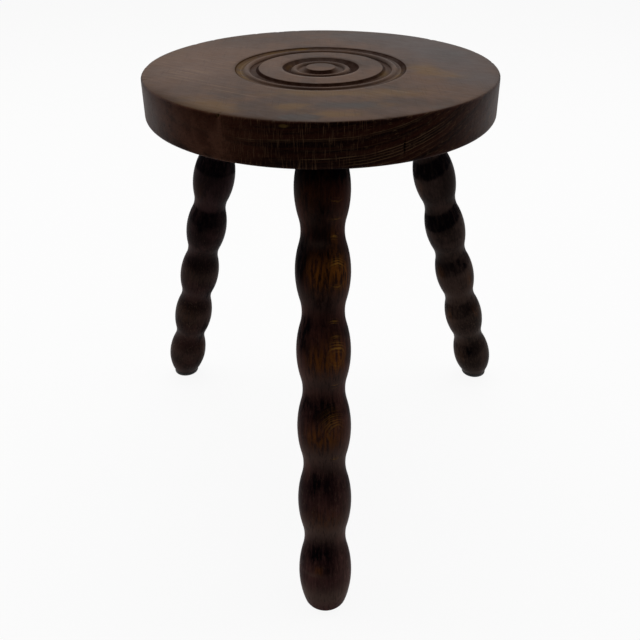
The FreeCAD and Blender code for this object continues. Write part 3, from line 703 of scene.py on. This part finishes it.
# %% Places, noise and coats
def piece_place(tree, origin=(0, 0, 0), turn=(0, 0, 0)):
    """Object coordinates seen from a piece's own origin and axes."""
    inputs = {"Vector": add(tree, "TexCoord", {}, output=3), "Location": origin, "Rotation": turn}
    return add(tree, "Mapping", inputs, vector_type="TEXTURE")


def speckle(place, scale, detail=2.0, roughness=0.5):
    """Soft noise with so many repeats to the metre, or so many along each axis."""
    if isinstance(scale, tuple):
        place, scale = add(place.tree, "Mapping", {"Vector": place, "Scale": scale}), 1.0
    inputs = {"Vector": place, "Scale": scale, "Detail": detail, "Roughness": roughness}
    return add(place.tree, "TexNoise", inputs)


def step(value, low, high, to_low=0.0, to_high=1.0):
    """Smooth step between two limits."""
    inputs = {"Value": value, "From Min": low, "From Max": high, "To Min": to_low, "To Max": to_high}
    return add(value.tree, "MapRange", inputs, interpolation_type="SMOOTHSTEP")


def painted(tree, name):
    return add(tree, "Attribute", {}, output=2, attribute_name=name)


def blend(share, first, second):
    first, second = (rgb if isinstance(rgb, Wire) else (*rgb, 1.0) for rgb in (first, second))
    return add(share.tree, "Mix", {0: share, 6: first, 7: second}, output=2, data_type="RGBA")


def coated(base, *coats):
    """Lay coats over a base, one after the other: each has a share and a colour."""
    for share, rgb in coats:
        base = blend(share, base, rgb)
    return base


def raised(height, distance, strength=0.3):
    """Fine relief, too small for the mesh."""
    inputs = {"Height": height, "Strength": strength, "Distance": distance}
    return add(height.tree, "Bump", inputs)


print("coats ready")

# %% [markdown]
# The slab is one plank with its grain from front to back. Its end shows on the front of the rim, where the
# rings lie nearly flat and sweep up to the right. A ring keeps one depth, counted down from the top less
# that sweep, so a short list of depths draws the lines that stand out: a pale line of early wood with a dark
# partner of late wood below it. Thin rays cross them in the middle of the rim, and flakes lie along them at
# the right. Noise along a ring's depth makes the wood between the lines lighter and darker.

# %% The grain of the seat's plank
RING_LINES = [(12.4, 0.6), (13.6, 0.3), (20.5, 0.2), (26.5, 1.0), (28.4, 0.5), (30.5, 0.75), (32.8, 0.8),
              (36.3, 0.5), (40.5, 0.4)]
LINE_HALF, LATE_WOOD, LATE_HALF = 0.55, 1.1, 0.8
SWEEP_RIGHT_OF, SWEEP_RIGHT = 0.02, 2.82
SWEEP_LEFT_OF, SWEEP_LEFT = -0.055, 2.4
RING_SLANT, RING_WANDER = 0.045, 0.003
BAND_DRAWN_OUT, FLAKE_DRAWN_OUT = 0.03, 0.25


def ring_depth(place, x, z):
    """Depth below the top less the sweep: a slight slant and the square of the way past the middle."""
    right_of, left_of = (x - SWEEP_RIGHT_OF).at_least(0.0), (SWEEP_LEFT_OF - x).at_least(0.0)
    sweep = right_of ** 2.0 * SWEEP_RIGHT + left_of ** 2.0 * SWEEP_LEFT + x * RING_SLANT
    return sweep - z + (speckle(place, (30, 3, 30), 3.0) - 0.5) * RING_WANDER


def ring_lines(place, x, ring):
    """The pale lines, broken here and there, and their dark partners."""
    line = late = 0.0
    for level, strength in RING_LINES:
        past = ring - level * MM
        line = step(abs(past), LINE_HALF * MM, 0.0, 0.0, strength).at_least(line)
        late = step(abs(past - LATE_WOOD * MM), LATE_HALF * MM, 0.0, 0.0, strength).at_least(late)
    held_back = x - step(ring, 0.017, 0.019, 0.0, 0.045) - step(ring, 0.0274, 0.0284, 0.0, 0.032)
    shows = step(held_back, -0.066, -0.048, 0.1, 1.0) * step(x, 0.098, 0.072, 0.1, 1.0)
    broken = step(speckle(place, 110.0), 0.36, 0.56, 0.35, 1.0)
    return line * (shows * broken), late * shows


def plank_grain(place):
    """Ring lines, their dark partners, rays and wider bands of the plank."""
    xyz = place.tree.nodes.new("ShaderNodeSeparateXYZ")
    feed(xyz, {0: place})
    x, z = Wire(xyz.outputs["X"]), Wire(xyz.outputs["Z"])
    ring = ring_depth(place, x, z)
    line, late = ring_lines(place, x, ring)
    for_band = add(place.tree, "CombineXYZ", {0: ring, 1: x * BAND_DRAWN_OUT})
    for_flake = add(place.tree, "CombineXYZ", {0: ring, 1: x * FLAKE_DRAWN_OUT})
    flake = step(speckle(for_flake, 800.0, 3.0, 0.6), 0.54, 0.72) * step(x, -0.01, 0.05, 0.15, 0.45)
    in_middle = step(x, -0.08, -0.062, 0.15, 1.0) * step(x, 0.05, 0.016, 0.15, 1.0)
    ray = step(speckle(place, (2300, 9, 105), 1.0), 0.6, 0.66) * in_middle
    return line.at_least(flake), late, ray, speckle(for_band, 150.0, 4.0, 0.6)


print(len(RING_LINES), "ring lines stand out on the rim")

# %% [markdown]
# The finish is built up as the stool was: bare oak, stain, then wear. The top's brown is rubbed amber in
# places and waxed grey in others, and marks of things that were dragged over it slant across the grain.

# %% The seat's top
DRAGGED_ALONG = -34
BROWN_DARK, BROWN_LIGHT = (0.048, 0.027, 0.018), (0.092, 0.05, 0.031)


def seat_noises(place):
    """The seat's patterns by name: how often each repeats across, along and through the plank."""
    dragged = piece_place(place.tree, (*SEAT_AXIS, SEAT_TOP), (0, 0, math.radians(DRAGGED_ALONG)))
    return SimpleNamespace(
        pore=step(speckle(place, (900, 34, 900)), 0.56, 0.72),
        streak=speckle(place, (130, 7, 130), 3.0),
        cloud=speckle(place, 15.0, 5.0, 0.55),
        mottle=speckle(place, (45, 75, 75), 6.0, 0.66),
        blotch=speckle(place, (190, 60, 150), 5.0, 0.66),
        fine=speckle(dragged, (60, 320, 60), 4.0, 0.62),
        drag=speckle(dragged, (18, 300, 18), 3.0, 0.6),
    )


def worn_top(tree, noise):
    uneven = (noise.mottle - 0.5) * 1.3
    scratched = painted(tree, "scratched")
    tone = noise.cloud * 0.86 + noise.streak * 0.14
    return coated(
        blend(step(tone, 0.4, 0.6), BROWN_DARK, BROWN_LIGHT),
        (step(noise.mottle, 0.52, 0.34, 0.0, 0.25), (0.026, 0.015, 0.011)),
        (painted(tree, "paled"), (0.112, 0.066, 0.046)),
        # Grey haze: wax bloom and partly a painted sheen.
        (painted(tree, "haze_and_sheen"), (0.052, 0.036, 0.032)),
        (step(painted(tree, "amber") + uneven, 0.1, 0.85, 0.0, 0.75), (0.112, 0.061, 0.022)),
        (step(painted(tree, "greyed") - uneven, 0.1, 0.85, 0.0, 0.75), (0.024, 0.018, 0.015)),
        (step(noise.drag, 0.54, 0.66) * scratched * 0.6, (0.165, 0.108, 0.068)),
        (step(noise.drag, 0.46, 0.36) * scratched * 0.4, (0.04, 0.025, 0.018)),
        (noise.pore * 0.2, (0.018, 0.01, 0.007)),
        (painted(tree, "dark_edge"), (0.036, 0.016, 0.007)),
    )


print(f"drag marks slant by {-DRAGGED_ALONG} degrees")

# %% [markdown]
# The side kept its stain and is darker and redder. Its end grain shows through: bands first, then ruddy
# places and a painted sheen where the rim's two ends are seen at a grazing angle, and the ring lines and rays
# on top of them, because they are what the stain took up least. Last come the quirks' dirt and painted shade,
# the gold, and the sheen. The top is seen at a low angle, where even old wax shines, so sheen changes its
# looks as
# much as colour does: the quirks' dirt and shade have none, and grey wax has the most.

# %% The seat's side and its sheen
SIDE_DARK, SIDE_RED = (0.0055, 0.0014, 0.0012), (0.031, 0.0085, 0.0045)
PLAIN_SHEEN, WAX_SHEEN = 0.05, 0.085


def stained_side(tree, place, noise):
    line, late, ray, band = plank_grain(place)
    shade = band * 0.7 + noise.cloud * 0.3
    return coated(
        blend(step(shade, 0.4, 0.58), SIDE_DARK, SIDE_RED),
        (painted(tree, "ruddy") * step(noise.mottle, 0.36, 0.62, 0.3, 1.1), (0.088, 0.036, 0.022)),
        # Painted sheen at the rim's two ends.
        (painted(tree, "painted_end_sheen"), (0.08, 0.06, 0.056)),
        (late * 0.7, (0.004, 0.0014, 0.0014)),
        (line * 0.95, (0.15, 0.09, 0.048)),
        (ray * 0.6, (0.115, 0.062, 0.034)),
        (noise.pore * 0.4, (0.004, 0.002, 0.0018)),
        (step(painted(tree, "fleck"), 0.15, 0.6) * step(noise.blotch, 0.36, 0.52), (0.1, 0.058, 0.018)),
    )


def seat_sheen(tree, noise, dirt_and_shade):
    waxed = painted(tree, "greyed").at_least(painted(tree, "haze_and_sheen"))
    on_side = step(painted(tree, "painted_end_sheen"), 0.0, 0.5, 0.26, 0.8)
    sheen = step(waxed, 0.0, 1.0, PLAIN_SHEEN, WAX_SHEEN)
    sheen = sheen * step(painted(tree, "dark_edge"), 0.0, 1.0, 1.0, 0.3)
    sheen = sheen * step(dirt_and_shade, 0.0, 1.0, 1.0, 0.05)
    sheen = sheen * step(painted(tree, "side"), 0.0, 1.0, 1.0, on_side)
    return sheen * step(noise.fine, 0.34, 0.66, 0.78, 1.22)


def seat_oak():
    material, tree, shader = new_finish("seat_oak_worn")
    place = piece_place(tree, (*SEAT_AXIS, SEAT_TOP))
    noise = seat_noises(place)
    base = blend(painted(tree, "side"), worn_top(tree, noise), stained_side(tree, place, noise))
    # The quirks' dark coat: dirt and painted shade.
    dirt_and_shade, uneven = painted(tree, "dirt_and_shade"), step(noise.blotch, 0.36, 0.62, 1.08, 0.92)
    dirt_and_shade = dirt_and_shade.math("MULTIPLY", uneven, clamp=True)
    gold = painted(tree, "gold") * step(noise.mottle, 0.34, 0.54)
    feed(shader, {"Specular IOR Level": PLAIN_SHEEN})
    feed(shader, {
        "Base Color": coated(base, (dirt_and_shade, (0.0135, 0.0048, 0.0026)), (gold, (0.09, 0.047, 0.011))),
        "Roughness": noise.mottle * 0.18 + noise.cloud * 0.12 + 0.36,
        "Specular IOR Level": seat_sheen(tree, noise, dirt_and_shade),
        "Normal": raised(noise.streak * 0.12 - noise.pore * 0.5, 0.0004),
    })
    return material


seat.data.materials.append(seat_oak())
print("seat finish:", seat.data.materials[0].name)

# %% [markdown]
# Each leg was turned from a square stick sawn beside the tree's middle, so the rings are curved sheets that
# the bulges cut through: that is what draws the ovals. The distance to the tree's middle is measured in the
# leg's own frame, which a Mapping node gives, with the leg's origin and turn.

# %% Rings in the legs
HEART = {"front": (210, 0.0075), "left": (150, 0.055), "right": (-140, 0.07)}
RING_STEP, LEG_RING_WANDER = 0.00028, 0.0007


def leg_ring_lines(tree, place, side_name):
    """Thin lines at every step of the distance from the tree's middle, wandering and of broken strength."""
    angle, reach = HEART[side_name]
    heart = (reach * math.cos(math.radians(angle)), reach * math.sin(math.radians(angle)), 0)
    to_heart = add(tree, "Mapping", {"Vector": place, "Location": heart}, vector_type="TEXTURE")
    flat = add(tree, "VectorMath", {0: to_heart, 1: (1, 1, 0)}, operation="MULTIPLY")
    distance = add(tree, "VectorMath", {0: flat}, output=1, operation="LENGTH")
    ring = distance + speckle(place, (60, 60, 24), 4.0, 0.6) * LEG_RING_WANDER
    in_ring = ring.math("DIVIDE", RING_STEP).math("FRACT")
    some = step(speckle(add(tree, "CombineXYZ", {0: ring}), 2600.0, 1.0), 0.4, 0.54)
    return step(abs(in_ring - 0.5), 0.4, 0.08) * some


print(f"a ring every {RING_STEP / MM:.2f} mm")

# %% [markdown]
# Each leg has four stains: a dark and a light one for its upper end and for its lower end, and they carry
# painted light too: darker in the seat's shade and paler towards the floor. Dust with painted light, black
# stain with painted shade, orange rubs with the ring lines in gold, dark specks, pores and pale flecks are
# coats on top of them. Flecks show only where neither black nor a rub hides them.

# %% The legs' dark oak
# Stain tones with painted light: the upper pair darker in the seat's shade, the lower pair paler from the
# floor.
STAIN_AND_PAINTED_LIGHT = {
    "front": [(0.0065, 0.002, 0.0015), (0.044, 0.0115, 0.0062),
              (0.034, 0.013, 0.013), (0.082, 0.034, 0.031)],
    "left": [(0.0125, 0.0062, 0.007), (0.032, 0.016, 0.0182),
             (0.0145, 0.006, 0.0046), (0.038, 0.0155, 0.0118)],
    "right": [(0.0165, 0.0098, 0.0088), (0.041, 0.0245, 0.0215),
              (0.0225, 0.013, 0.0098), (0.056, 0.0325, 0.025)],
}
LEG_SHEEN, BLACK_SHEEN = 0.012, 0.002


def leg_oak(side_name):
    leg = LEGS[side_name]
    origin, down, outward, side = leg_frame(leg)
    axes = Matrix(np.stack([outward, side, -down], 1))
    material, tree, shader = new_finish(f"leg_oak_{side_name}")
    place = piece_place(tree, origin, axes.to_euler("XYZ"))
    pore = step(speckle(place, (700, 700, 60)), 0.55, 0.72)
    streak = speckle(place, (380, 380, 16), 3.0)
    cloud = speckle(place, 34.0, 4.0, 0.55)
    mottle = speckle(place, (260, 260, 140), 5.0, 0.65)
    flame = speckle(place, (460, 460, 80), 4.0, 0.62)
    ragged = step(speckle(place, (330, 330, 70), 5.0, 0.68), 0.38, 0.6, 0.55, 1.25)
    fleck = step(speckle(place, (620, 620, 330), 3.0, 0.6), 0.56, 0.68)

    grain = step(add(tree, "Mix", {0: leg["streak"], 2: cloud, 3: streak}), 0.4, 0.6)
    upper_dark, upper_light, lower_dark, lower_light = STAIN_AND_PAINTED_LIGHT[side_name]
    low_down, rubbed, black = (painted(tree, mark) for mark in ("low_down", "rubbed", "black_stain_and_shade"))
    black = black.math("MULTIPLY", ragged, clamp=True)
    fleck = fleck * step(low_down, 0.1, 0.9, 0.05, 0.42)
    fleck = fleck * step(black.at_least(rubbed), 0.0, 0.8, 1.0, 0.25)
    base = coated(
        blend(low_down, blend(grain, upper_dark, upper_light), blend(grain, lower_dark, lower_light)),
        # Pale grey coat: dust, and painted light from the floor, fill and highlights.
        (painted(tree, "dust_and_painted_light") * 0.8, (0.122, 0.077, 0.062)),
        # Black coat: dark stain and painted shade.
        (black, (0.0032, 0.002, 0.003)),
        (rubbed * step(flame, 0.4, 0.58, 0.12, 1.0), (0.165, 0.054, 0.009)),
        (leg_ring_lines(tree, place, side_name) * painted(tree, "figured"), (0.34, 0.165, 0.03)),
        (step(flame, 0.46, 0.34) * 0.35, (0.0035, 0.002, 0.0018)),
        (pore * 0.35, (0.004, 0.0024, 0.002)),
        (fleck, (0.105, 0.066, 0.045)),
    )
    feed(shader, {"Specular IOR Level": LEG_SHEEN})
    feed(shader, {
        "Base Color": base,
        "Roughness": mottle * 0.2 + cloud * 0.15 + 0.22,
        "Specular IOR Level": step(black, 0.0, 1.0, LEG_SHEEN, BLACK_SHEEN),
        "Normal": raised(streak * 0.4 - pore * 0.6, 0.0003),
    })
    return material


for side_name, (piece, _) in legs.items():
    piece.data.materials.append(leg_oak(side_name))
    print("leg finish:", piece.data.materials[0].name)

# %% [markdown]
# The small parts keep their solids: plastic glides scuffed by the floor, their lower edge paler also as a
# painted highlight, steel nails that only show from below, and oak wedges that are sealed in the joints.

# %% Glides, nails and wedges
GLIDE_PALE_TO = 0.0034
GLIDE_DARK, GLIDE_SCUFF_AND_HIGHLIGHT = (0.022, 0.02, 0.019), (0.28, 0.275, 0.27)
STEEL, TARNISH = (0.42, 0.41, 0.4), (0.16, 0.11, 0.08)
OAK_DARK, OAK_LIGHT = (0.28, 0.17, 0.08), (0.42, 0.27, 0.14)


def glide_plastic():
    material, tree, shader = new_finish("glide_plastic")
    place = piece_place(tree)
    scuff = speckle(place, (220, 220, 900), 5.0, 0.65)
    height = add(tree, "SeparateXYZ", {0: place}, output=2)
    # Paler towards the floor: scuffs and a painted highlight on the rounded lower edge.
    worn = step(height, GLIDE_PALE_TO, 0.0) * step(scuff, 0.35, 0.6, 0.6, 1.0)
    feed(shader, {
        "Base Color": blend(worn, GLIDE_DARK, GLIDE_SCUFF_AND_HIGHLIGHT),
        "Specular IOR Level": 0.2,
        "Roughness": step(scuff, 0.3, 0.7, 0.45, 0.7),
        "Normal": raised(scuff, 0.0002, 0.2),
    })
    return material


def nail_steel():
    material, tree, shader = new_finish("nail_steel")
    tarnish = speckle(piece_place(tree), 900.0, 4.0, 0.6)
    feed(shader, {
        "Base Color": blend(step(tarnish, 0.4, 0.65), STEEL, TARNISH),
        "Roughness": step(tarnish, 0.3, 0.7, 0.3, 0.6),
        "Metallic": 1.0,
    })
    return material


def wedge_oak():
    material, tree, shader = new_finish("wedge_oak_bare")
    grain = speckle(piece_place(tree), (900, 900, 60), 3.0)
    feed(shader, {
        "Base Color": blend(step(grain, 0.35, 0.65), OAK_DARK, OAK_LIGHT),
        "Roughness": step(grain, 0.3, 0.7, 0.55, 0.75),
    })
    return material


SMALL_FINISHES = {"glide_nail": nail_steel(), "glide": glide_plastic(), "tenon_wedge": wedge_oak()}
for node_name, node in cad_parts.items():
    kind = node_name.rsplit("_", 1)[0]
    if kind in SMALL_FINISHES:
        for slot in node.material_slots:
            slot.material = SMALL_FINISHES[kind]
        print(node_name, "is", SMALL_FINISHES[kind].name)

# %% [markdown]
# ## Light
# The photograph was taken in a bright white place: light comes from above, behind and the sides, and the
# pale floor throws it back up under the bulges. The camera's own side is kept dim by a black card, which
# the camera doesn't see. Part of the floor's white is glow that only eyes and reflections see, so it lights
# nothing and the floor's shadows stay faint.

# %% Floor and card
FLOOR, CARD = [(-8, -8, 0), (8, 8, 0)], [(-3, -1.3, 0.01), (3, -1.3, 3.5)]
FLOOR_GLOW = 0.92
FLOOR_LOW, FLOOR_HIGH = (0.88, 0.88, 0.88), (0.9, 0.9, 0.9)
WHITE, CARD_BLACK = (1, 1, 1, 1), (0.01, 0.01, 0.01, 1)


def flat_piece(name, low, high):
    """A rectangle between two corners, no part of the stool."""
    mesh = bpy.data.meshes.new(name)
    mesh.from_pydata([low, (high[0], *low[1:]), high, (low[0], *high[1:])], [], [(0, 1, 2, 3)])
    piece = placed(name, mesh)
    return piece


def seen_rays(tree):
    """One for rays from the camera, gloss or glass, else nothing."""
    rays = tree.nodes.new("ShaderNodeLightPath").outputs
    seen = Wire(rays["Is Camera Ray"]).at_least(Wire(rays["Is Glossy Ray"]))
    return seen.at_least(Wire(rays["Is Transmission Ray"]))


def pale_floor():
    material, tree, shader = new_finish("pale_floor")
    paper = speckle(piece_place(tree), 300.0, 3.0)
    tone = blend(step(paper, 0.3, 0.7), FLOOR_LOW, FLOOR_HIGH)
    feed(shader, {"Base Color": tone, "Roughness": 0.9, "Specular IOR Level": 0.0})
    glow = add(tree, "Emission", {"Color": WHITE, "Strength": 1.0})
    share = seen_rays(tree) * FLOOR_GLOW
    mixed = add(tree, "MixShader", {0: share, 1: Wire(shader.outputs[0]), 2: glow})
    feed(tree.nodes["Material Output"], {"Surface": mixed})
    return material


def black_card():
    material, _, shader = new_finish("black_card")
    feed(shader, {"Base Color": CARD_BLACK, "Roughness": 1.0, "Specular IOR Level": 0.0})
    return material


floor = flat_piece("floor", *FLOOR)
floor.data.materials.append(pale_floor())
card = flat_piece("dim_card", *CARD)
card.visible_camera = False
card.data.materials.append(black_card())
print("stage:", floor.name, "and", card.name)

# %% [markdown]
# Three large soft lamps stand above, left and right, a little behind the stool. The surroundings are white
# to the eye and in reflections, and give only a plain soft level of light.

# %% Lamps and surroundings
LAMPS = [
    ("lamp_above", (0.0, 0.7, 2.3), (0, 0.05, 0.3), 2.0, 1.6, 30),
    ("lamp_left", (-1.9, 0.5, 1.3), (0, 0, 0.25), 1.2, 1.6, 8),
    ("lamp_right", (1.9, 0.5, 1.3), (0, 0, 0.25), 1.2, 1.6, 8),
]
SOFT_LEVEL = 0.25


def soft_lamp(name, place, aim, wide, high, watts):
    lamp = bpy.data.lights.new(name, "AREA")
    lamp.shape = "RECTANGLE"
    lamp.size, lamp.size_y = wide, high
    lamp.energy = watts
    holder = placed(name, lamp)
    holder.location = place
    holder.rotation_euler = (Vector(aim) - Vector(place)).to_track_quat("-Z", "Y").to_euler()
    print(f"{name}: {watts} W")


def white_surroundings():
    world = bpy.data.worlds.new("white_surroundings")
    world.use_nodes = True
    strength = step(seen_rays(world.node_tree), 0.0, 1.0, SOFT_LEVEL, 1.0)
    feed(world.node_tree.nodes["Background"], {"Color": WHITE, "Strength": strength})
    world.cycles.sampling_method = "NONE"
    return world


for lamp in LAMPS:
    soft_lamp(*lamp)
scene.world = white_surroundings()
scene.view_settings.view_transform = "Standard"
